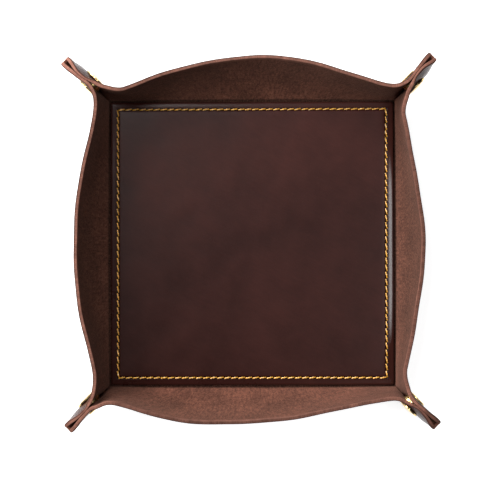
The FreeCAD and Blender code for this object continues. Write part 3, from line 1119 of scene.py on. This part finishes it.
class TRAY_OT_stitches(bpy.types.Operator):
    """Sew the panel down with needle stitches above and bobbin stitches below"""

    bl_idname = "tray.stitches"
    bl_label = "Stitches"

    # How far a stitch slants to either side of the seam, above and below
    NEEDLE_SLANTS = dict(back=0.00026, right=0.0004, front=0.00026, left=0.0004)
    BOBBIN_SLANTS = dict.fromkeys(SIDES, -0.00025)
    # Height of the stitches' backs, from the panel's face or the floor, and their rise
    NEEDLE_LEVEL, NEEDLE_RISE = 0.00002, 0.0007
    BOBBIN_LEVEL, BOBBIN_RISE = 0.00042, -0.00065

    def execute(self, context):
        level = sizes().panel_top + self.NEEDLE_LEVEL
        seam_piece("needle_stitches", "needle_thread", level, self.NEEDLE_RISE, self.NEEDLE_SLANTS)
        level = self.BOBBIN_LEVEL
        seam_piece("bobbin_stitches", "bobbin_thread", level, self.BOBBIN_RISE, self.BOBBIN_SLANTS)
        return {"FINISHED"}


class TRAY_OT_snaps(bpy.types.Operator):
    """Finish the brass snap fasteners of the four ears"""

    bl_idname = "tray.snaps"
    bl_label = "Snap fasteners"

    BRASS_DULL, BRONZE_DULL = 0.24, 0.32
    EDGE_WEAR, EDGE_ANGLE = 0.00018, math.radians(35)

    def execute(self, context):
        brass = metal_finish("snap_brass", tuple(colours().brass), self.BRASS_DULL)
        bronze = metal_finish("spring_bronze", tuple(colours().bronze), self.BRONZE_DULL)
        for name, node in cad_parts.items():
            if "_snap_" not in name:
                continue
            node.data.materials.clear()
            node.data.materials.append(bronze if name.endswith("spring") else brass)
            soften = node.modifiers.new("worn edges", "BEVEL")
            soften.width = self.EDGE_WEAR
            soften.segments = 3
            soften.limit_method = "ANGLE"
            soften.angle_limit = self.EDGE_ANGLE
            node.data.shade_smooth()
        return {"FINISHED"}


class TRAY_OT_stage(bpy.types.Operator):
    """Set up the white floor, the lights and the camera"""

    bl_idname = "tray.stage"
    bl_label = "Studio"

    FLOOR_HALF, FLOOR_LEVEL, FLOOR_GLOW = 6.0, -0.00025, (0.8, 0.8, 0.8)
    WORLD_STRENGTH = 0.016
    # Name, place, width, depth and watts of each lamp, all aimed at the middle
    LAMPS = (
        ("key softbox", (-0.965, 1.15, 0.80), 1.3, 1.3, 46.0),
        ("left window", (-1.43, 0.0, 0.93), 1.1, 1.1, 17.5),
        ("top sheen", (-0.33, 0.40, 1.5), 0.30, 0.30, 5.4),
        ("right card", (0.44, -0.05, 1.25), 0.62, 0.15, 3.2),
    )
    # Where the camera aims, its distance, its lean to the right and the front, and its roll
    AIM, DISTANCE, LEAN, ROLL = (-0.0011, -0.00357), 0.7956, (1.0, 0.7), -0.12
    LENS, SENSOR = 106.5, 36.0  # millimetres

    def execute(self, context):
        scene = context.scene
        scene.view_settings.view_transform = "Standard"
        scene.world = self.make_world()
        scene.camera = self.make_camera()
        self.make_lamps()
        self.make_floor()
        return {"FINISHED"}

    @staticmethod
    def seen(finish):
        """1 for what the camera sees, directly or by gloss or through glass."""
        names = ("Is Camera Ray", "Is Glossy Ray", "Is Transmission Ray")
        rays = total([finish.node("ShaderNodeLightPath", output=name) for name in names])
        return rays.math("MINIMUM", rays, 1.0)

    def make_floor(self):
        mesh = bpy.data.meshes.new("floor")
        half = self.FLOOR_HALF
        corners = ((-half, -half), (half, -half), (half, half), (-half, half))
        mesh.from_pydata([(*corner, self.FLOOR_LEVEL) for corner in corners], [], [(0, 1, 2, 3)])
        finish = Finish("studio_floor")
        finish.set(
            Base_Color=colours().floor,
            Roughness=0.9,
            Specular_IOR_Level=0.1,
            Emission_Strength=1.0,
            Emission_Color=finish.mix(self.seen(finish), (0.0, 0.0, 0.0), self.FLOOR_GLOW),
        )
        mesh.materials.append(finish.material)
        return new_object("floor", mesh)

    def make_world(self):
        world = bpy.data.worlds.new("studio")
        world.use_nodes = True
        background = world.node_tree.nodes["Background"]
        background.inputs["Color"].default_value = (1.0, 1.0, 1.0, 1.0)
        background.inputs["Strength"].default_value = self.WORLD_STRENGTH
        return world

    def make_lamps(self):
        for name, place, wide, deep, power in self.LAMPS:
            lamp = bpy.data.lights.new(name, "AREA")
            lamp.shape = "RECTANGLE"
            lamp.size, lamp.size_y = wide, deep
            lamp.energy = power
            holder = new_object(name, lamp)
            holder.location = place
            holder.rotation_euler = (-Vector(place)).to_track_quat("-Z", "Y").to_euler()

    def make_camera(self):
        camera = bpy.data.cameras.new("overhead camera")
        camera.sensor_width = self.SENSOR
        camera.lens = self.LENS
        holder = new_object("overhead camera", camera)
        lean_right, lean_front = (math.tan(math.radians(lean)) for lean in self.LEAN)
        back = Vector((lean_right, -lean_front, 1.0)).normalized()
        holder.location = Vector((*self.AIM, sizes().panel_top)) + self.DISTANCE * back
        right = Vector((0.0, 1.0, 0.0)).cross(back).normalized()
        turn = Matrix((right, back.cross(right), back)).transposed()
        turn = turn @ Matrix.Rotation(math.radians(self.ROLL), 3, "Z")
        holder.rotation_euler = turn.to_euler()
        return holder


class TRAY_PT_panel(bpy.types.Panel):
    """Sizes, colours and build steps of the tray"""

    bl_idname = "TRAY_PT_panel"
    bl_label = "Leather valet tray"
    bl_space_type = "VIEW_3D"
    bl_region_type = "UI"
    bl_category = "Tray"

    def draw(self, context):
        layout = self.layout
        for group in (context.scene.tray_sizes, context.scene.tray_colours):
            column = layout.column(align=True)
            for name in group.__annotations__:
                column.prop(group, name)
        for step in STEPS:
            layout.operator(step.bl_idname)


STEPS = (
    TRAY_OT_walls,
    TRAY_OT_ears,
    TRAY_OT_base,
    TRAY_OT_panel,
    TRAY_OT_stitches,
    TRAY_OT_snaps,
    TRAY_OT_stage,
)
CLASSES = (TraySizes, TrayColours, *STEPS, TRAY_PT_panel)


def register():
    for kind in CLASSES:
        bpy.utils.register_class(kind)
    bpy.types.Scene.tray_sizes = PointerProperty(type=TraySizes)
    bpy.types.Scene.tray_colours = PointerProperty(type=TrayColours)


def unregister():
    del bpy.types.Scene.tray_colours
    del bpy.types.Scene.tray_sizes
    for kind in reversed(CLASSES):
        bpy.utils.unregister_class(kind)


def main():
    register()
    bpy.ops.tray.walls()
    bpy.ops.tray.ears()
    bpy.ops.tray.base()
    bpy.ops.tray.panel()
    bpy.ops.tray.stitches()
    bpy.ops.tray.snaps()
    bpy.ops.tray.stage()


if __name__ == "__main__":
    main()
